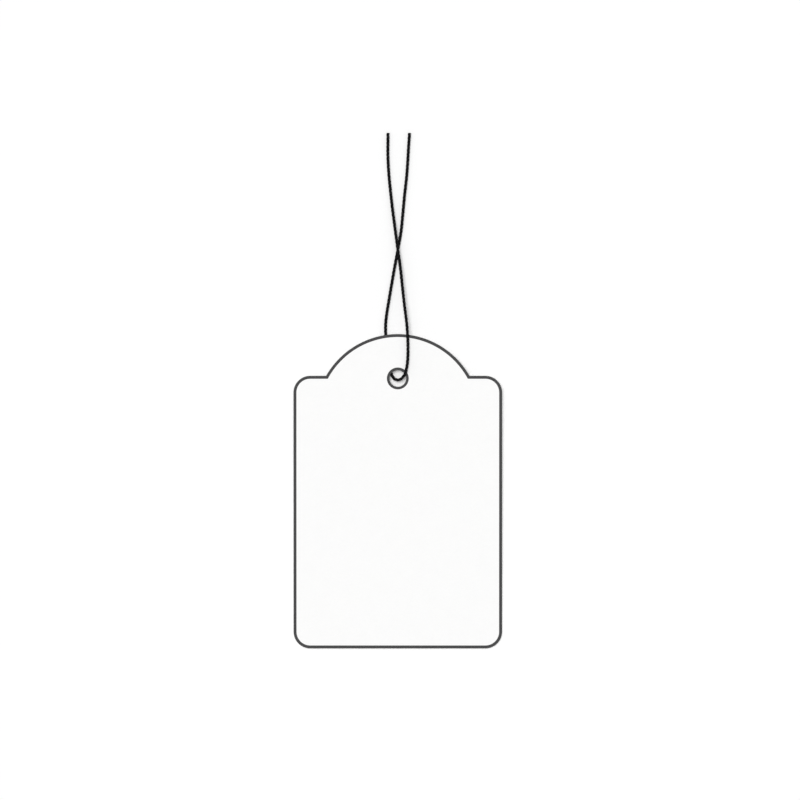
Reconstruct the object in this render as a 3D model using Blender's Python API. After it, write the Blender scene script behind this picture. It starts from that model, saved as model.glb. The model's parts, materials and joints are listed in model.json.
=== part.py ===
"""Hang tag: a die-cut card with a domed top and a plain hole, and the loose thread through the hole.

Metres, +Z up. The tag lies face up on a flat surface, with its domed end towards +Y. The origin is on
that surface, under the middle of the card.
"""

import math

import bpy
from mathutils import Vector

# Card
CARD_WIDTH = 0.0400
CARD_HEIGHT = 0.0603
CARD_THICKNESS = 0.0004
CORNER_RADIUS = 0.0032
DOME_WIDTH = 0.0275
DOME_RISE = 0.0080
HOLE_DIAMETER = 0.0032
HOLE_BELOW_TOP = 0.0085

# Thread
THREAD_DIAMETER = 0.00055
THREAD_CLEARANCE = 0.0001
THREAD_POINT_SPACING = 0.0015

# Fineness of the curves
CORNER_STEPS = 8
DOME_STEPS = 40
HOLE_STEPS = 40
THREAD_BEVEL_RESOLUTION = 2

# Along the card, from its bottom edge
SHOULDER = CARD_HEIGHT - DOME_RISE
HOLE_ALONG = CARD_HEIGHT - HOLE_BELOW_TOP

# The card rests on its bottom edge, and at the hole on the thread that runs out behind it.
HOLE_LIFT = THREAD_DIAMETER + THREAD_CLEARANCE
CARD_TILT = math.asin(HOLE_LIFT / HOLE_ALONG)
BOTTOM_EDGE_Y = -0.5 * CARD_HEIGHT * math.cos(CARD_TILT)
HOLE_Y = BOTTOM_EDGE_Y + HOLE_ALONG * math.cos(CARD_TILT)


def clear_scene():
    for thing in list(bpy.data.objects):
        bpy.data.objects.remove(thing, do_unlink=True)
    for group in list(bpy.data.collections):
        bpy.data.collections.remove(group)


def make_collection(name):
    group = bpy.data.collections.new(name)
    bpy.context.scene.collection.children.link(group)
    return group


def make_material(name, colour, roughness):
    material = bpy.data.materials.new(name)
    material.use_nodes = True
    surface = material.node_tree.nodes["Principled BSDF"]
    surface.inputs["Base Color"].default_value = (*colour, 1.0)
    surface.inputs["Roughness"].default_value = roughness
    surface.inputs["Metallic"].default_value = 0.0
    return material


def arc(centre, radius, start, end, steps):
    """Points on a circle from one angle to another, both ends included."""
    x, y = centre
    points = []
    for i in range(steps + 1):
        angle = start + (end - start) * i / steps
        points.append((x + radius * math.cos(angle), y + radius * math.sin(angle)))
    return points


def card_outline():
    """The cut edge: a rounded rectangle whose top rises between square-cut shoulders into a dome."""
    right = 0.5 * CARD_WIDTH - CORNER_RADIUS
    half_dome = 0.5 * DOME_WIDTH
    dome_radius = (half_dome**2 + DOME_RISE**2) / (2 * DOME_RISE)
    dome_centre = CARD_HEIGHT - dome_radius
    foot_angle = math.asin((SHOULDER - dome_centre) / dome_radius)

    half = arc((right, CORNER_RADIUS), CORNER_RADIUS, -0.5 * math.pi, 0.0, CORNER_STEPS)
    half += arc((right, SHOULDER - CORNER_RADIUS), CORNER_RADIUS, 0.0, 0.5 * math.pi, CORNER_STEPS)
    half += arc((0.0, dome_centre), dome_radius, foot_angle, 0.5 * math.pi, DOME_STEPS // 2)
    other_half = [(-x, y) for x, y in reversed(half[:-1])]
    return half + other_half


def hole_outline():
    return arc((0.0, HOLE_ALONG), 0.5 * HOLE_DIAMETER, 0.0, 2 * math.pi, HOLE_STEPS)[:-1]


def add_loop(curve, points):
    spline = curve.splines.new("POLY")
    spline.points.add(len(points) - 1)
    for place, (x, y) in zip(spline.points, points):
        place.co = (x, y, 0.0, 1.0)
    spline.use_cyclic_u = True


def make_card(group):
    """The card lies on an empty at its bottom edge, which tilts it up onto the thread."""
    curve = bpy.data.curves.new("card", "CURVE")
    curve.dimensions = "2D"
    curve.fill_mode = "BOTH"
    curve.extrude = 0.5 * CARD_THICKNESS
    add_loop(curve, card_outline())
    add_loop(curve, hole_outline())
    curve.materials.append(make_material("card", (0.92, 0.92, 0.91), 0.75))

    bottom_edge = bpy.data.objects.new("bottom_edge", None)
    bottom_edge.location = (0.0, BOTTOM_EDGE_Y, 0.0)
    bottom_edge.rotation_euler = (CARD_TILT, 0.0, 0.0)
    group.objects.link(bottom_edge)

    card = bpy.data.objects.new("card", curve)
    card.parent = bottom_edge
    card.location = (0.0, 0.0, 0.5 * CARD_THICKNESS)
    group.objects.link(card)


def blend(low, high, share):
    return low + (high - low) * share


def thread_route():
    """Places along the thread's middle, from one bare end to the other, measured from the hole's centre."""
    lying = 0.5 * THREAD_DIAMETER
    crossing = lying + THREAD_DIAMETER + THREAD_CLEARANCE

    def on_face(y):
        face = (HOLE_ALONG * math.cos(CARD_TILT) + y) * math.tan(CARD_TILT)
        return face + CARD_THICKNESS / math.cos(CARD_TILT) + THREAD_CLEARANCE + lying

    card_top = HOLE_BELOW_TOP
    over_top = on_face(card_top)
    over_rim = on_face(0.0)

    front_end = [
        (-0.00189, 0.0471, lying),
        (-0.00190, 0.0424, lying),
        (-0.00172, 0.0391, blend(lying, crossing, 0.01)),
        (-0.00143, 0.0361, blend(lying, crossing, 0.07)),
        (-0.00110, 0.0331, blend(lying, crossing, 0.25)),
        (-0.00073, 0.0302, blend(lying, crossing, 0.54)),
        (-0.00036, 0.0274, blend(lying, crossing, 0.83)),
        (0.00000, 0.0247, crossing),
        (0.00050, 0.0211, blend(crossing, over_top, 0.26)),
        (0.00090, 0.0173, blend(crossing, over_top, 0.62)),
        (0.00127, 0.0140, blend(crossing, over_top, 0.89)),
        (0.00163, 0.0112, blend(crossing, over_top, 0.99)),
    ]
    over_card = [
        (0.00186, card_top, over_top),
        (0.00194, 0.0057, on_face(0.0057)),
        (0.00188, 0.0036, on_face(0.0036)),
        (0.00170, 0.0021, on_face(0.0021)),
    ]
    through_hole = [
        (0.00129, 0.0007, blend(lying, over_rim, 0.95)),
        (0.00092, 0.0002, blend(lying, over_rim, 0.80)),
        (0.00048, -0.00017, blend(lying, over_rim, 0.61)),
        (-0.00002, -0.00028, blend(lying, over_rim, 0.42)),
        (-0.00048, -0.00017, blend(lying, over_rim, 0.25)),
        (-0.00118, 0.0007, blend(lying, over_rim, 0.03)),
        (-0.00141, 0.0014, blend(lying, over_rim, 0.005)),
        (-0.00167, 0.0028, lying),
    ]
    behind_card = [
        (-0.00204, 0.0054, lying),
        (-0.00234, card_top, lying),
    ]
    back_end = [
        (-0.00234, 0.0106, lying),
        (-0.00211, 0.0126, lying),
        (-0.00173, 0.0149, lying),
        (-0.00126, 0.0177, lying),
        (-0.00074, 0.0207, lying),
        (0.00000, 0.0247, lying),
        (0.00062, 0.0283, lying),
        (0.00098, 0.0319, lying),
        (0.00130, 0.0353, lying),
        (0.00167, 0.0386, lying),
        (0.00190, 0.0417, lying),
        (0.00206, 0.0445, lying),
        (0.00224, 0.0471, lying),
    ]
    route = front_end + over_card + through_hole + behind_card + back_end
    return [Vector(place) for place in route]


def smooth_points(route, spacing):
    """Points along a cubic curve through the route's places, at least two to each span."""
    lengths = [(b - a).length for a, b in zip(route, route[1:])]
    slopes = [(route[1] - route[0]) / lengths[0]]
    for i in range(1, len(route) - 1):
        before = (route[i] - route[i - 1]) / lengths[i - 1]
        after = (route[i + 1] - route[i]) / lengths[i]
        slopes.append((before * lengths[i] + after * lengths[i - 1]) / (lengths[i - 1] + lengths[i]))
    slopes.append((route[-1] - route[-2]) / lengths[-1])

    points = [route[0]]
    for i, length in enumerate(lengths):
        steps = max(2, round(length / spacing))
        for step in range(1, steps + 1):
            t = step / steps
            points.append(
                route[i] * (2 * t**3 - 3 * t**2 + 1)
                + slopes[i] * length * (t**3 - 2 * t**2 + t)
                + route[i + 1] * (3 * t**2 - 2 * t**3)
                + slopes[i + 1] * length * (t**3 - t**2)
            )
    return points


def make_thread(group):
    """The thread swings about the hole, so its origin is on the hole's upright axis."""
    curve = bpy.data.curves.new("thread", "CURVE")
    curve.dimensions = "3D"
    curve.bevel_depth = 0.5 * THREAD_DIAMETER
    curve.bevel_resolution = THREAD_BEVEL_RESOLUTION
    curve.use_fill_caps = True
    points = smooth_points(thread_route(), THREAD_POINT_SPACING)
    spline = curve.splines.new("POLY")
    spline.points.add(len(points) - 1)
    for place, point in zip(spline.points, points):
        place.co = (*point, 1.0)
    spline.use_smooth = True
    curve.materials.append(make_material("thread", (0.012, 0.012, 0.013), 0.85))

    thread = bpy.data.objects.new("thread", curve)
    thread.location = (0.0, HOLE_Y, 0.0)
    group.objects.link(thread)


def main():
    clear_scene()
    group = make_collection("hang_tag")
    make_card(group)
    make_thread(group)


main()
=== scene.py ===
"""A blank hang tag: a die-cut card with a domed top, and a loose black thread through its punched hole.

Metres, +Z up. The tag lies face up on the floor and is seen from straight above, with its domed end at the
top of the picture. The card's size, its tilt and the hole's place come from the frame. The thread follows
the same route as the frame's thread.
"""

import json
import math

import bmesh
import bpy
from bpy.props import FloatProperty, FloatVectorProperty, IntProperty, PointerProperty
from mathutils import Matrix, Vector, noise


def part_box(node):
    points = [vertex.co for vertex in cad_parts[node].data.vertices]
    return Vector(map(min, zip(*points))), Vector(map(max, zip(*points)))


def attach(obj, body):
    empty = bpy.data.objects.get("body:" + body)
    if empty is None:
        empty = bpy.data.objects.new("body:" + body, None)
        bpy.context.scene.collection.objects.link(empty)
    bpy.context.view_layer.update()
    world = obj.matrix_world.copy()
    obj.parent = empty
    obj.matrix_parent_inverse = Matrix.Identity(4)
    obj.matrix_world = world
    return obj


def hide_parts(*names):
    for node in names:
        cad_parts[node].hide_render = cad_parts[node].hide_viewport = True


bl_info = {
    "name": "Hang Tag",
    "version": (1, 0, 0),
    "blender": (4, 5, 0),
    "location": "View3D > Sidebar > Hang Tag",
    "description": "Makes a die-cut card tag, the twisted thread through its hole and a plain white stage",
    "category": "Add Mesh",
}

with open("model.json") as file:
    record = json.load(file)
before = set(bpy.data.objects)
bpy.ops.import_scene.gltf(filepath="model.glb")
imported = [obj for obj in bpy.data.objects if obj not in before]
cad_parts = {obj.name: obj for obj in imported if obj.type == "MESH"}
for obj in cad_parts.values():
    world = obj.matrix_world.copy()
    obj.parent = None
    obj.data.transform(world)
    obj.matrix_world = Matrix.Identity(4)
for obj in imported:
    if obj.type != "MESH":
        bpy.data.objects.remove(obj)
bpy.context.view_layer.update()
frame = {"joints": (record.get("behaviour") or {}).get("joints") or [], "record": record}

# The card rests on its bottom edge and on the thread behind its hole, so its face leans a little.
mounts = {mount["name"]: mount for mount in frame["record"]["mounts"]}
face_place = Vector(mounts["front_face"]["pos_m"])
back_place = Vector(mounts["back_face"]["pos_m"])
face_normal = Vector(mounts["front_face"]["axis"]).normalized()
card_low, card_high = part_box("card")
CARD_TILT = math.atan2(-face_normal.y, face_normal.z)
CARD_THICKNESS = (face_place - back_place).dot(face_normal)
CARD_WIDTH = card_high.x - card_low.x
BOTTOM_EDGE_Y = card_low.y + CARD_THICKNESS * math.sin(CARD_TILT)
CARD_HEIGHT = (card_high.y - BOTTOM_EDGE_Y) / math.cos(CARD_TILT)

# The thread swings about the middle of the hole.
HOLE_Y = frame["joints"][0]["pos_m"][1]
HOLE_ALONG = (HOLE_Y - BOTTOM_EDGE_Y) / math.cos(CARD_TILT)

# Fineness of the card's curves
CORNER_STEPS = 14
DOME_STEPS = 72
HOLE_STEPS = 72
PRESSED_STEPS = 4

# The card's edge: how far a printed line fades out, as a share of its width, and how far the burr on the
# back and the flat beside the pressed edge reach, as shares of the pressed edge
LINE_FADE = 0.04
BURR = 0.3
PRESSED_FLAT = 1.6

# Places in the card's list of materials
PAPER = 0
CUT = 1

# Fineness of the thread
ROUTE_STEPS = 24
RING_SPACING = 0.00011
PLY_STEPS = 10

# How much larger a ply is than one that would only touch its neighbours
PLY_FULLNESS = 1.4

# How far the twist wanders, in turns, and the plies' thickness, as a share, and how often to the metre
TWIST_WANDER = 0.08
TWIST_CHANGES = 400.0
UNEVENNESS = 0.03
UNEVEN_CHANGES = 900.0

# Edges are sharp where their faces turn by more than this.
CARD_CREASE = math.radians(35.0)
THREAD_CREASE = math.radians(50.0)

# The lamp leans this far from upright, towards the upper left of the picture. Its angle is how wide it is.
LAMP_LEAN = math.radians(15.0)
LAMP_SIDE = (-0.6, 0.8)
LAMP_ANGLE = math.radians(40.0)

# The camera's sensor, in millimetres
SENSOR_WIDTH = 36.0

# The floor lies this far down, because the plies reach a little lower than a plain thread. The last is its
# colour for the light that it throws back.
FLOOR_HALF_WIDTH = 3.0
FLOOR_DROP = 0.00003
FLOOR_THROWN_BACK = (0.8, 0.8, 0.8, 1.0)


class HangTagCard(bpy.types.PropertyGroup):
    """Sizes and colours of the card."""

    corner_radius: FloatProperty(
        name="Corner radius", description="Rounding of the card's four outer corners",
        default=0.0032, min=0.0012, unit="LENGTH", precision=5)
    dome_width: FloatProperty(
        name="Dome width", description="Width of the dome where it leaves the shoulders",
        default=0.0275, min=0.005, unit="LENGTH", precision=5)
    dome_rise: FloatProperty(
        name="Dome rise", description="Height of the dome above the shoulders",
        default=0.0080, min=0.001, unit="LENGTH", precision=5)
    hole_diameter: FloatProperty(
        name="Hole diameter", description="Diameter of the punched hole",
        default=0.0032, min=0.001, unit="LENGTH", precision=5)
    pressed_edge: FloatProperty(
        name="Pressed edge", description="How far the cutting rule presses the face's edge round",
        default=0.00005, min=0.00001, unit="LENGTH", precision=6)
    edge_line: FloatProperty(
        name="Edge line", description="Width of the line printed along the cut edge",
        default=0.00057, min=0.0001, unit="LENGTH", precision=5)
    hole_line: FloatProperty(
        name="Hole line", description="Width of the ring printed round the hole",
        default=0.0005, min=0.0001, unit="LENGTH", precision=5)
    paper_colour: FloatVectorProperty(
        name="Paper", description="Colour of the card", subtype="COLOR",
        default=(0.96, 0.96, 0.957), min=0.0, max=1.0)
    core_colour: FloatVectorProperty(
        name="Cut edge", description="Colour of the card where it is cut", subtype="COLOR",
        default=(0.82, 0.81, 0.79), min=0.0, max=1.0)
    line_colour: FloatVectorProperty(
        name="Line", description="Colour of the printed lines", subtype="COLOR",
        default=(0.045, 0.045, 0.046), min=0.0, max=1.0)


class HangTagThread(bpy.types.PropertyGroup):
    """Sizes and colour of the thread."""

    diameter: FloatProperty(
        name="Diameter", description="Thickness of the twisted thread",
        default=0.00055, min=0.0003, unit="LENGTH", precision=5)
    clearance: FloatProperty(
        name="Clearance", description="Gap between the thread and what it passes over",
        default=0.0001, min=0.0, unit="LENGTH", precision=5)
    plies: IntProperty(
        name="Plies", description="Number of yarns twisted together", default=3, min=2, max=5)
    twist_length: FloatProperty(
        name="Twist length", description="Length of thread in which a ply goes once round",
        default=0.0023, min=0.0005, unit="LENGTH", precision=5)
    colour: FloatVectorProperty(
        name="Thread", description="Colour of the dyed fibres", subtype="COLOR",
        default=(0.004, 0.004, 0.0043), min=0.0, max=1.0)


class HangTagStage(bpy.types.PropertyGroup):
    """The floor, the light and the camera."""

    floor_colour: FloatVectorProperty(
        name="Floor", description="Colour of the floor as the camera sees it", subtype="COLOR",
        default=(1.0, 1.0, 1.0), min=0.0, max=1.0)
    sky_level: FloatProperty(
        name="Sky level", description="Share of the light that comes evenly from all round",
        default=0.40, min=0.0, max=2.0, subtype="FACTOR")
    lamp_level: FloatProperty(
        name="Lamp level", description="Share of the light that comes from the soft lamp",
        default=0.61, min=0.0, max=2.0, subtype="FACTOR")
    picture_width: FloatProperty(
        name="Picture width", description="Width of floor that the picture takes in",
        default=0.1536, min=0.05, unit="LENGTH", precision=4)
    picture_middle: FloatVectorProperty(
        name="Picture middle", description="Place on the floor at the middle of the picture",
        default=(0.00042, 0.01751), size=2, subtype="XYZ", unit="LENGTH", precision=5)
    lens: FloatProperty(
        name="Lens", description="Focal length of the camera",
        default=135.0, min=20.0, unit="CAMERA")


def set_inputs(tree, node, inputs):
    """Gives a node's inputs their values, or links them where a socket is given."""
    for key, value in inputs.items():
        if isinstance(value, bpy.types.NodeSocket):
            tree.links.new(value, node.inputs[key])
        else:
            node.inputs[key].default_value = value


def add_node(tree, kind, inputs=None, **settings):
    """The outputs of a new shader node with these settings and inputs."""
    node = tree.nodes.new(kind)
    for name, value in settings.items():
        setattr(node, name, value)
    set_inputs(tree, node, inputs or {})
    return node.outputs


def calc(tree, operation, *values, clamp=False):
    """The result of one working on values and sockets."""
    inputs = dict(enumerate(values))
    return add_node(tree, "ShaderNodeMath", inputs, operation=operation, use_clamp=clamp)[0]


def between(tree, share, low, high):
    """A value that runs from low to high as the share runs from 0 to 1."""
    return calc(tree, "MULTIPLY_ADD", share, high - low, low)


def mix_colour(tree, share, first, second, blend="MIX"):
    """Two colours blended by a share. A Mix node has its colours as inputs 6 and 7 and output 2."""
    inputs = {0: share, 6: first, 7: second}
    return add_node(tree, "ShaderNodeMix", inputs, data_type="RGBA", blend_type=blend)[2]


def new_group(name, inputs, outputs):
    """A new shader node group, with the sockets that come in and the node for those that go out."""
    tree = bpy.data.node_groups.new(name, "ShaderNodeTree")
    for socket_name, (kind, default) in inputs.items():
        socket = tree.interface.new_socket(socket_name, in_out="INPUT", socket_type=kind)
        socket.default_value = default
    for socket_name, kind in outputs.items():
        tree.interface.new_socket(socket_name, in_out="OUTPUT", socket_type=kind)
    return tree, tree.nodes.new("NodeGroupInput").outputs, tree.nodes.new("NodeGroupOutput")


def place_group(tree, name, inputs):
    """The outputs of a shared group set in a material or in another group, with its own values."""
    node = tree.nodes.new("ShaderNodeGroup")
    node.node_tree = bpy.data.node_groups.get(name) or GROUP_MAKERS[name]()
    set_inputs(tree, node, inputs)
    return node.outputs


def make_fibre_lay():
    """Fine fibres lying one way: 1 on a fibre and 0 between. Along and Across are in cells to the metre."""
    tree, given, out = new_group("fibre_lay", {
        "Place": ("NodeSocketVector", (0.0, 0.0, 0.0)),
        "Turn": ("NodeSocketFloat", 0.0),
        "Along": ("NodeSocketFloat", 900.0),
        "Across": ("NodeSocketFloat", 9000.0),
        "Fineness": ("NodeSocketFloat", 10.0),
    }, {"Fibres": "NodeSocketFloat"})
    turn = add_node(tree, "ShaderNodeCombineXYZ", {"Z": given["Turn"]})[0]
    turned = add_node(tree, "ShaderNodeVectorRotate", {"Vector": given["Place"], "Rotation": turn},
                      rotation_type="EULER_XYZ")[0]
    cells = add_node(tree, "ShaderNodeCombineXYZ", {
        "X": given["Along"], "Y": given["Across"], "Z": given["Across"]})[0]
    stretched = add_node(tree, "ShaderNodeVectorMath", {0: turned, 1: cells}, operation="MULTIPLY")[0]
    cloud = add_node(tree, "ShaderNodeTexNoise", {"Vector": stretched, "Scale": 1.0, "Detail": 1.5})["Fac"]

    # A fibre runs where the stretched noise passes through its middle value.
    off_middle = calc(tree, "ABSOLUTE", calc(tree, "SUBTRACT", cloud, 0.5))
    off_fibre = calc(tree, "MULTIPLY", off_middle, given["Fineness"])
    set_inputs(tree, out, {"Fibres": calc(tree, "SUBTRACT", 1.0, off_fibre, clamp=True)})
    return tree


def make_card_grain():
    """Uncoated card: faint clouds, fibres lying every way, and a fine tooth that takes the light."""
    tree, given, out = new_group("card_grain", {
        "Colour": ("NodeSocketColor", (0.9, 0.9, 0.9, 1.0)),
        "Clouds": ("NodeSocketFloat", 0.03),
        "Fibres": ("NodeSocketFloat", 0.02),
    }, {"Colour": "NodeSocketColor", "Roughness": "NodeSocketFloat", "Height": "NodeSocketFloat"})
    place = add_node(tree, "ShaderNodeTexCoord")["Object"]
    cloud = add_node(tree, "ShaderNodeTexNoise", {
        "Vector": place, "Scale": 380.0, "Detail": 4.0, "Roughness": 0.62})["Fac"]
    tooth = add_node(tree, "ShaderNodeTexNoise", {
        "Vector": place, "Scale": 5200.0, "Detail": 3.0, "Roughness": 0.6})["Fac"]

    # The fibres lie three ways.
    fibres = 0.0
    for turn, along, across in ((0.35, 700.0, 6500.0), (1.45, 900.0, 8000.0), (2.6, 600.0, 5500.0)):
        lay = place_group(tree, "fibre_lay", {
            "Place": place, "Turn": turn, "Along": along, "Across": across, "Fineness": 14.0})
        fibres = calc(tree, "MAXIMUM", fibres, lay["Fibres"])

    # Clouds and fibres make some places a little lighter than the given colour and others a little darker.
    cloud_shade = calc(tree, "MULTIPLY", calc(tree, "SUBTRACT", cloud, 0.5), given["Clouds"])
    fibre_shade = calc(tree, "MULTIPLY", calc(tree, "SUBTRACT", fibres, 0.4), given["Fibres"])
    shade = calc(tree, "ADD", 1.0, calc(tree, "ADD", cloud_shade, fibre_shade))
    set_inputs(tree, out, {
        "Colour": mix_colour(tree, 1.0, given["Colour"], shade, "MULTIPLY"),
        "Roughness": between(tree, tooth, 0.7, 0.9),
        "Height": calc(tree, "MULTIPLY_ADD", fibres, 0.7, tooth),
    })
    return tree


GROUP_MAKERS = {"fibre_lay": make_fibre_lay, "card_grain": make_card_grain}


def rgba(colour):
    return (*colour, 1.0)


def relief(tree, height, depth):
    """A surface direction for a height, where a height of 1 stands out by the depth."""
    return add_node(tree, "ShaderNodeBump", {"Distance": depth, "Height": height})[0]


def new_material(name):
    """A new material, its node tree and its surface."""
    material = bpy.data.materials.new(name)
    material.use_nodes = True
    return material, material.node_tree, material.node_tree.nodes["Principled BSDF"]


def seen_share(tree):
    """1 for rays that come from the camera, a reflection or clear glass, and 0 for light from all round."""
    rays = add_node(tree, "ShaderNodeLightPath")
    seen = calc(tree, "MAXIMUM", rays["Is Camera Ray"], rays["Is Glossy Ray"])
    return calc(tree, "MAXIMUM", seen, rays["Is Transmission Ray"])


def card_paper(sizes):
    """The card's two faces. The line is printed where the mesh's ink attribute is 1."""
    material, tree, surface = new_material("card_paper")
    paper = place_group(tree, "card_grain", {"Colour": rgba(sizes.paper_colour)})
    line = place_group(tree, "card_grain", {
        "Colour": rgba(sizes.line_colour), "Clouds": 0.25, "Fibres": 0.12})

    # The ink soaks a little way along the fibres, so the line's edge is slightly ragged.
    ink = add_node(tree, "ShaderNodeAttribute", attribute_name="ink")["Fac"]
    place = add_node(tree, "ShaderNodeTexCoord")["Object"]
    soak = add_node(tree, "ShaderNodeTexNoise", {"Vector": place, "Scale": 9000.0, "Detail": 2.0})["Fac"]
    ragged = calc(tree, "MULTIPLY_ADD", calc(tree, "SUBTRACT", soak, 0.5), 0.5, ink)
    printed = add_node(tree, "ShaderNodeMapRange", {"Value": ragged, "From Min": 0.35, "From Max": 0.65})[0]
    set_inputs(tree, surface, {
        "Base Color": mix_colour(tree, printed, paper["Colour"], line["Colour"]),
        "Roughness": calc(tree, "MULTIPLY_ADD", printed, -0.15, paper["Roughness"]),
        "Specular IOR Level": 0.25,
        "Normal": relief(tree, paper["Height"], depth=0.000004),
    })
    return material


def card_cut(sizes):
    """The cut edge, where the layers of pulp show as fine lines along the card."""
    material, tree, surface = new_material("card_cut")
    pulp = place_group(tree, "card_grain", {
        "Colour": rgba(sizes.core_colour), "Clouds": 0.12, "Fibres": 0.10})
    place = add_node(tree, "ShaderNodeTexCoord")["Object"]
    flat = add_node(tree, "ShaderNodeVectorMath", {0: place, 1: (900.0, 900.0, 26000.0)},
                    operation="MULTIPLY")[0]
    layers = add_node(tree, "ShaderNodeTexNoise", {"Vector": flat, "Scale": 1.0, "Detail": 2.0})["Fac"]
    shade = between(tree, layers, 0.85, 1.15)
    set_inputs(tree, surface, {
        "Base Color": mix_colour(tree, 1.0, pulp["Colour"], shade, "MULTIPLY"),
        "Roughness": pulp["Roughness"],
        "Specular IOR Level": 0.2,
        "Normal": relief(tree, calc(tree, "ADD", pulp["Height"], layers), depth=0.000011),
    })
    return material


def thread_yarn(sizes):
    """Black yarn. The mesh's lay attribute gives each place as if the thread were pulled straight along X."""
    material, tree, surface = new_material("thread_yarn")
    lay = add_node(tree, "ShaderNodeAttribute", attribute_name="lay")["Vector"]
    fibres = place_group(tree, "fibre_lay", {
        "Place": lay, "Along": 1400.0, "Across": 22000.0, "Fineness": 5.0})["Fibres"]
    patches = add_node(tree, "ShaderNodeTexNoise", {"Vector": lay, "Scale": 1500.0, "Detail": 2.0})["Fac"]

    # Painted light: the base colour is painted lighter on the crown of each ply, a painted highlight, and
    # darker in the grooves between the plies, a painted shade.
    across = add_node(tree, "ShaderNodeVectorMath", {0: lay, 1: (0.0, 1.0, 1.0)}, operation="MULTIPLY")[0]
    out_from_middle = add_node(tree, "ShaderNodeVectorMath", {0: across}, operation="LENGTH")["Value"]
    painted_ply_highlight_and_groove_shade = add_node(tree, "ShaderNodeMapRange", {
        "Value": out_from_middle, "From Min": 0.43 * sizes.diameter, "From Max": 0.55 * sizes.diameter,
        "To Min": 0.15, "To Max": 1.7})[0]
    dye = between(tree, patches, 0.5, 1.1)
    # The fibres and the uneven dye are the yarn's own colour. The painted ply highlight and painted groove
    # shade are multiplied over them.
    dye_and_painted_ply_shade = calc(tree, "MULTIPLY", painted_ply_highlight_and_groove_shade, calc(tree, "MULTIPLY_ADD", fibres, 1.6, dye))
    set_inputs(tree, surface, {
        "Base Color": mix_colour(tree, 1.0, rgba(sizes.colour), dye_and_painted_ply_shade, "MULTIPLY"),
        "Roughness": between(tree, fibres, 0.85, 0.65),
        "Specular IOR Level": 0.03,
        "Normal": relief(tree, fibres, depth=0.00001),
    })
    return material


def floor_white(sizes):
    """The camera and reflections see the floor's own colour. The light it throws back is a little darker."""
    material, tree, surface = new_material("floor_white")
    set_inputs(tree, surface, {
        "Base Color": mix_colour(tree, seen_share(tree), FLOOR_THROWN_BACK, rgba(sizes.floor_colour)),
        "Roughness": 0.9,
        "Specular IOR Level": 0.0,
    })
    return material


def add_object(name, data):
    """A new object in the scene."""
    thing = bpy.data.objects.new(name, data)
    bpy.context.scene.collection.objects.link(thing)
    return thing


def arc(centre, radius, start, end, steps):
    """Points on a circle from one angle to another, both ends included."""
    x, y = centre
    angles = [start + (end - start) * i / steps for i in range(steps + 1)]
    return [(x + radius * math.cos(angle), y + radius * math.sin(angle)) for angle in angles]


def card_outline(sizes, inset):
    """The cut edge drawn in by an inset: a rounded rectangle whose top rises between shoulders to a dome."""
    corner = sizes.corner_radius
    right = 0.5 * CARD_WIDTH - corner
    shoulder = CARD_HEIGHT - sizes.dome_rise
    half_dome = 0.5 * sizes.dome_width
    dome_radius = (half_dome**2 + sizes.dome_rise**2) / (2 * sizes.dome_rise)
    dome_centre = CARD_HEIGHT - dome_radius
    foot_angle = math.asin((shoulder - inset - dome_centre) / (dome_radius - inset))

    half = arc((right, corner), corner - inset, -0.5 * math.pi, 0.0, CORNER_STEPS)
    half += arc((right, shoulder - corner), corner - inset, 0.0, 0.5 * math.pi, CORNER_STEPS)
    half += arc((0.0, dome_centre), dome_radius - inset, foot_angle, 0.5 * math.pi, DOME_STEPS // 2)
    other_half = [(-x, y) for x, y in reversed(half[:-1])]
    return half + other_half


def hole_outline(sizes, inset):
    """The hole's rim moved into the card by an inset."""
    radius = 0.5 * sizes.hole_diameter + inset
    return arc((0.0, HOLE_ALONG), radius, 0.0, 2 * math.pi, HOLE_STEPS)[:-1]


def edge_section(sizes, line_width):
    """The card's edge in section, from the face round to the back, as (inset, height, ink, material) rings.

    A ring's material is that of the band from it to the next ring. The first ring lies in plain paper, as
    far again from the edge as the printed line is wide.
    """
    fade = LINE_FADE * line_width
    pressed = sizes.pressed_edge
    burr = BURR * pressed
    rings = [
        (2 * line_width, CARD_THICKNESS, 0.0, PAPER),
        (line_width + fade, CARD_THICKNESS, 0.0, PAPER),
        (line_width - fade, CARD_THICKNESS, 1.0, PAPER),
        (PRESSED_FLAT * pressed, CARD_THICKNESS, 1.0, PAPER),
    ]
    for step in range(PRESSED_STEPS):
        turn = 0.5 * math.pi * step / PRESSED_STEPS
        drop = pressed * (1.0 - math.cos(turn))
        rings.append((pressed * (1.0 - math.sin(turn)), CARD_THICKNESS - drop, 1.0, PAPER))
    rings += [
        (0.0, CARD_THICKNESS - pressed, 1.0, CUT),
        (0.0, burr, 0.0, CUT),
        (burr, 0.0, 0.0, PAPER),
        (line_width, 0.0, 0.0, PAPER),
    ]
    return rings


def bridge(mesh, above, below):
    """A band of faces between two closed rings of as many points each."""
    corners = zip(above, below, below[1:] + below[:1], above[1:] + above[:1])
    return [mesh.faces.new(four) for four in corners]


def ring_edges(mesh, ring):
    """The edges that join a closed ring's points."""
    return [mesh.edges.get(pair) for pair in zip(ring, ring[1:] + ring[:1])]


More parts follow.
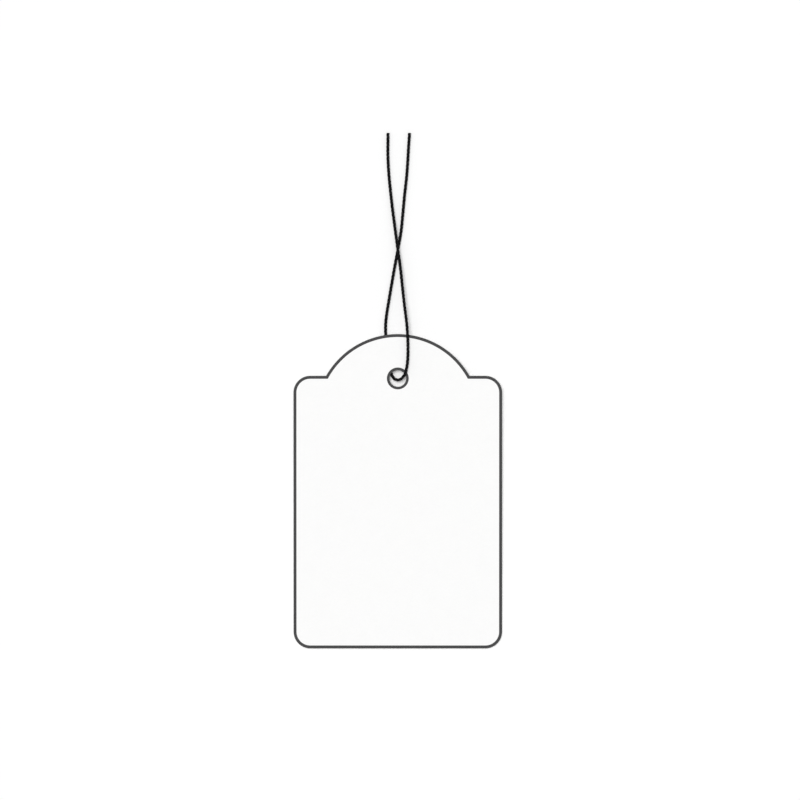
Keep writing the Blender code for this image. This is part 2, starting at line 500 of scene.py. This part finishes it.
def card_mesh(sizes):
    """The card in its own frame: X across, Y up from the bottom edge, Z through its thickness."""
    mesh = bmesh.new()
    ink = mesh.verts.layers.float.new("ink")
    face_edges = []
    back_edges = []
    for outline, line_width in ((card_outline, sizes.edge_line), (hole_outline, sizes.hole_line)):
        rings = []
        section = edge_section(sizes, line_width)
        for inset, height, shade, _ in section:
            ring = [mesh.verts.new((x, y, height)) for x, y in outline(sizes, inset)]
            for corner in ring:
                corner[ink] = shade
            rings.append(ring)
        for above, below, (_, _, _, material) in zip(rings, rings[1:], section):
            for face in bridge(mesh, above, below):
                face.material_index = material
        face_edges += ring_edges(mesh, rings[0])
        back_edges += ring_edges(mesh, rings[-1])
    bmesh.ops.triangle_fill(mesh, use_beauty=True, edges=face_edges)
    bmesh.ops.triangle_fill(mesh, use_beauty=True, edges=back_edges)
    return mesh


def finish_mesh(mesh, name, materials, sharp_angle):
    """An object from a closed bmesh, smooth apart from its sharp edges."""
    bmesh.ops.recalc_face_normals(mesh, faces=mesh.faces)
    for face in mesh.faces:
        face.smooth = True
    for edge in mesh.edges:
        edge.smooth = edge.calc_face_angle() < sharp_angle
    data = bpy.data.meshes.new(name)
    mesh.to_mesh(data)
    mesh.free()
    for material in materials:
        data.materials.append(material)
    return add_object(name, data)


def blend(low, high, share):
    """The number that lies this share of the way from low to high."""
    return low + (high - low) * share


def thread_route(sizes):
    """Places along the thread's middle, measured from the hole's centre.

    They come as two lists: from the bare end on the face's side to behind the hole, and on to the other end.
    """
    lying = 0.5 * sizes.diameter
    crossing = lying + sizes.diameter + sizes.clearance

    def on_face(y):
        face = (HOLE_ALONG * math.cos(CARD_TILT) + y) * math.tan(CARD_TILT)
        return face + CARD_THICKNESS / math.cos(CARD_TILT) + sizes.clearance + lying

    card_top = CARD_HEIGHT - HOLE_ALONG
    over_top = on_face(card_top)
    over_rim = on_face(0.0)

    front_end = [
        (-0.00189, 0.0471, lying),
        (-0.00190, 0.0424, lying),
        (-0.00172, 0.0391, blend(lying, crossing, 0.01)),
        (-0.00143, 0.0361, blend(lying, crossing, 0.07)),
        (-0.00110, 0.0331, blend(lying, crossing, 0.25)),
        (-0.00073, 0.0302, blend(lying, crossing, 0.54)),
        (-0.00036, 0.0274, blend(lying, crossing, 0.83)),
        (0.00000, 0.0247, crossing),
        (0.00050, 0.0211, blend(crossing, over_top, 0.26)),
        (0.00090, 0.0173, blend(crossing, over_top, 0.62)),
        (0.00127, 0.0140, blend(crossing, over_top, 0.89)),
        (0.00163, 0.0112, blend(crossing, over_top, 0.99)),
    ]
    over_card = [
        (0.00186, card_top, over_top),
        (0.00194, 0.0057, on_face(0.0057)),
        (0.00188, 0.0036, on_face(0.0036)),
        (0.00170, 0.0021, on_face(0.0021)),
    ]
    through_hole = [
        (0.00129, 0.0007, blend(lying, over_rim, 0.95)),
        (0.00092, 0.0002, blend(lying, over_rim, 0.80)),
        (0.00048, -0.00017, blend(lying, over_rim, 0.61)),
        (-0.00002, -0.00028, blend(lying, over_rim, 0.42)),
        (-0.00048, -0.00017, blend(lying, over_rim, 0.25)),
        (-0.00118, 0.0007, blend(lying, over_rim, 0.03)),
        (-0.00141, 0.0014, blend(lying, over_rim, 0.005)),
        (-0.00167, 0.0028, lying),
    ]
    behind_card = [
        (-0.00204, 0.0054, lying),
        (-0.00234, card_top, lying),
    ]
    back_end = [
        (-0.00234, 0.0106, lying),
        (-0.00211, 0.0126, lying),
        (-0.00173, 0.0149, lying),
        (-0.00126, 0.0177, lying),
        (-0.00074, 0.0207, lying),
        (0.00000, 0.0247, lying),
        (0.00062, 0.0283, lying),
        (0.00098, 0.0319, lying),
        (0.00130, 0.0353, lying),
        (0.00167, 0.0386, lying),
        (0.00190, 0.0417, lying),
        (0.00206, 0.0445, lying),
        (0.00224, 0.0471, lying),
    ]
    return front_end + over_card + through_hole, behind_card + back_end


def smooth_points(route):
    """Points along a cubic curve through the route's places."""
    lengths = [(b - a).length for a, b in zip(route, route[1:])]
    slopes = [(route[1] - route[0]) / lengths[0]]
    for i in range(1, len(route) - 1):
        before = (route[i] - route[i - 1]) / lengths[i - 1]
        after = (route[i + 1] - route[i]) / lengths[i]
        slopes.append((before * lengths[i] + after * lengths[i - 1]) / (lengths[i - 1] + lengths[i]))
    slopes.append((route[-1] - route[-2]) / lengths[-1])

    points = [route[0]]
    for i, length in enumerate(lengths):
        for step in range(1, ROUTE_STEPS + 1):
            t = step / ROUTE_STEPS
            points.append(
                route[i] * (2 * t**3 - 3 * t**2 + 1)
                + slopes[i] * length * (t**3 - 2 * t**2 + t)
                + route[i + 1] * (3 * t**2 - 2 * t**3)
                + slopes[i + 1] * length * (t**3 - t**2)
            )
    return points


def distances_along(points):
    """How far along the line each point is."""
    along = [0.0]
    for a, b in zip(points, points[1:]):
        along.append(along[-1] + (b - a).length)
    return along


def even_points(points, spacing):
    """The same line in equal steps, as near to the spacing as its length allows."""
    along = distances_along(points)
    count = round(along[-1] / spacing)
    even = []
    i = 0
    for step in range(count + 1):
        wanted = along[-1] * step / count
        while i < len(points) - 2 and along[i + 1] < wanted:
            i += 1
        share = (wanted - along[i]) / (along[i + 1] - along[i])
        even.append(points[i].lerp(points[i + 1], share))
    return even


def cross_directions(points):
    """Two directions across the line at each point, carried along it without any twist of their own."""
    last = len(points) - 1
    tangents = [(points[min(i + 1, last)] - points[max(i - 1, 0)]).normalized() for i in range(last + 1)]
    side = Vector((0.0, 0.0, 1.0)).cross(tangents[0]).normalized()
    directions = []
    for before, tangent in zip(tangents[:1] + tangents, tangents):
        side = before.rotation_difference(tangent) @ side
        side = (side - side.project(tangent)).normalized()
        directions.append((side, tangent.cross(side)))
    return directions


def ply_profile(sizes):
    """The thread in section, as (angle, share of the radius), from one groove to the next.

    The plies are pressed together, so each is larger than one that would only touch its neighbours. They
    stand out beyond the radius by as much as the grooves lie inside it.
    """
    half_ply = math.pi / sizes.plies
    touching = math.sin(half_ply) / (1.0 + math.sin(half_ply))
    ply_radius = PLY_FULLNESS * touching
    ply_offset = 1.0 - ply_radius
    turns = [half_ply * (2.0 * step / PLY_STEPS - 1.0) for step in range(PLY_STEPS)]
    reaches = []
    for turn in turns:
        inside = math.sqrt(ply_radius**2 - (ply_offset * math.sin(turn))**2)
        reaches.append(ply_offset * math.cos(turn) + inside)
    mean_reach = sum(reaches) / len(reaches)
    return [
        (2.0 * half_ply * ply + turn, reach / mean_reach)
        for ply in range(sizes.plies)
        for turn, reach in zip(turns, reaches)
    ]


def thread_rings(sizes, points):
    """Rings of points round the line, each as (place, place on the thread pulled straight along X)."""
    profile = ply_profile(sizes)
    rings = []
    for along, point, (side, up) in zip(distances_along(points), points, cross_directions(points)):
        wander = TWIST_WANDER * noise.noise((TWIST_CHANGES * along, 3.0, 7.0))
        twist = 2 * math.pi * (along / sizes.twist_length + wander)
        ring = []
        for k, (angle, reach) in enumerate(profile):
            # Each ply follows a line of its own through the noise.
            uneven = UNEVENNESS * noise.noise((UNEVEN_CHANGES * along, 11.0 * (k // PLY_STEPS), 5.0))
            radius = 0.5 * sizes.diameter * reach * (1.0 + uneven)
            across = radius * math.cos(angle + twist)
            above = radius * math.sin(angle + twist)
            ring.append((point + side * across + up * above, Vector((along, across, above))))
        rings.append(ring)
    return rings


def thread_mesh(rings):
    """A closed length of the thread, cut square at both ends."""
    mesh = bmesh.new()
    lay = mesh.verts.layers.float_vector.new("lay")
    rows = []
    for ring in rings:
        row = [mesh.verts.new(place) for place, _ in ring]
        for corner, (_, straight) in zip(row, ring):
            corner[lay] = straight
        rows.append(row)
    for above, below in zip(rows, rows[1:]):
        bridge(mesh, above, below)
    for row in (rows[0], rows[-1]):
        mesh.faces.new(row)
    return mesh


def make_camera(scene, sizes):
    """The camera looks straight down, with the card's domed end at the top of the picture."""
    data = bpy.data.cameras.new("camera")
    data.lens = sizes.lens
    data.sensor_width = SENSOR_WIDTH
    camera = add_object("camera", data)
    camera.location = (*sizes.picture_middle, sizes.picture_width * sizes.lens / SENSOR_WIDTH)
    scene.camera = camera


def make_world(scene, sizes):
    """Even light from all round. The camera and reflections see plain white."""
    world = bpy.data.worlds.new("even_light")
    world.use_nodes = True
    tree = world.node_tree
    level = add_node(tree, "ShaderNodeMapRange", {
        "Value": seen_share(tree), "To Min": sizes.sky_level, "To Max": 1.0})
    set_inputs(tree, tree.nodes["Background"], {"Color": (1.0, 1.0, 1.0, 1.0), "Strength": level[0]})
    scene.world = world


def make_lamp(sizes):
    """One large soft lamp, nearly overhead and a little to the upper left."""
    data = bpy.data.lights.new("soft_lamp", "SUN")
    data.angle = LAMP_ANGLE
    data.energy = math.pi * sizes.lamp_level / math.cos(LAMP_LEAN)
    side_x, side_y = LAMP_SIDE
    aside = math.sin(LAMP_LEAN)
    towards = Vector((side_x * aside, side_y * aside, math.cos(LAMP_LEAN)))
    lamp = add_object("soft_lamp", data)
    lamp.rotation_euler = towards.to_track_quat("Z", "Y").to_euler()


def make_floor(sizes):
    """A wide floor just under the tag, which keeps the tag's soft shadow."""
    data = bpy.data.meshes.new("floor")
    half = FLOOR_HALF_WIDTH
    corners = [(x, y, -FLOOR_DROP) for x, y in ((-half, -half), (half, -half), (half, half), (-half, half))]
    data.from_pydata(corners, [], [(0, 1, 2, 3)])
    data.materials.append(floor_white(sizes))
    add_object("floor", data)


class HANGTAG_OT_stage(bpy.types.Operator):
    """Make the camera straight above, the soft even light and the white floor"""

    bl_idname = "scene.hang_tag_stage"
    bl_label = "Stage"

    def execute(self, context):
        sizes = context.scene.hang_tag_stage
        context.scene.view_settings.view_transform = "Standard"
        make_camera(context.scene, sizes)
        make_world(context.scene, sizes)
        make_lamp(sizes)
        make_floor(sizes)
        return {"FINISHED"}


class HANGTAG_OT_thread(bpy.types.Operator):
    """Twist the thread, run it through the hole and make it as two lengths"""

    bl_idname = "mesh.hang_tag_thread"
    bl_label = "Thread"

    def execute(self, context):
        sizes = context.scene.hang_tag_thread
        front, back = thread_route(sizes)
        places = [Vector((x, HOLE_Y + y, z)) for x, y, z in front + back]
        points = even_points(smooth_points(places), RING_SPACING)
        rings = thread_rings(sizes, points)
        yarn = thread_yarn(sizes)

        # The two lengths meet behind the hole, and the twist runs on from one to the other.
        behind_hole = places[len(front) - 1]
        meet = min(range(len(points)), key=lambda i: (points[i] - behind_hole).length)
        for name, stretch in (("thread_front", slice(0, meet + 1)), ("thread_back", slice(meet, None))):
            piece = finish_mesh(thread_mesh(rings[stretch]), name, [yarn], THREAD_CREASE)
            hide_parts("thread")
            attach(piece, "thread")
        return {"FINISHED"}


class HANGTAG_OT_card(bpy.types.Operator):
    """Cut the card with its domed top and its hole, and lay it on its bottom edge and the thread"""

    bl_idname = "mesh.hang_tag_card"
    bl_label = "Card"

    def execute(self, context):
        sizes = context.scene.hang_tag_card
        materials = [card_paper(sizes), card_cut(sizes)]
        piece = finish_mesh(card_mesh(sizes), "card_with_printed_edge", materials, CARD_CREASE)
        onto_edge = Matrix.Translation((0.0, BOTTOM_EDGE_Y, 0.0))
        piece.matrix_world = onto_edge @ Matrix.Rotation(CARD_TILT, 4, "X")
        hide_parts("card")
        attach(piece, "card")
        return {"FINISHED"}


class HANGTAG_PT_panel(bpy.types.Panel):
    """The tag's pieces, with their sizes and colours"""

    bl_idname = "HANGTAG_PT_panel"
    bl_label = "Hang Tag"
    bl_space_type = "VIEW_3D"
    bl_region_type = "UI"
    bl_category = "Hang Tag"

    def draw(self, context):
        scene = context.scene
        for operator, sizes in (
            (HANGTAG_OT_stage, scene.hang_tag_stage),
            (HANGTAG_OT_thread, scene.hang_tag_thread),
            (HANGTAG_OT_card, scene.hang_tag_card),
        ):
            box = self.layout.box()
            box.operator(operator.bl_idname)
            for name in sizes.__annotations__:
                box.prop(sizes, name)


CLASSES = (
    HangTagCard,
    HangTagThread,
    HangTagStage,
    HANGTAG_OT_stage,
    HANGTAG_OT_thread,
    HANGTAG_OT_card,
    HANGTAG_PT_panel,
)


def register():
    for cls in CLASSES:
        bpy.utils.register_class(cls)
    bpy.types.Scene.hang_tag_card = PointerProperty(type=HangTagCard)
    bpy.types.Scene.hang_tag_thread = PointerProperty(type=HangTagThread)
    bpy.types.Scene.hang_tag_stage = PointerProperty(type=HangTagStage)


def unregister():
    del bpy.types.Scene.hang_tag_stage
    del bpy.types.Scene.hang_tag_thread
    del bpy.types.Scene.hang_tag_card
    for cls in reversed(CLASSES):
        bpy.utils.unregister_class(cls)


def main():
    register()
    bpy.ops.scene.hang_tag_stage()
    bpy.ops.mesh.hang_tag_thread()
    bpy.ops.mesh.hang_tag_card()
    bpy.context.view_layer.update()


if __name__ == "__main__":
    main()
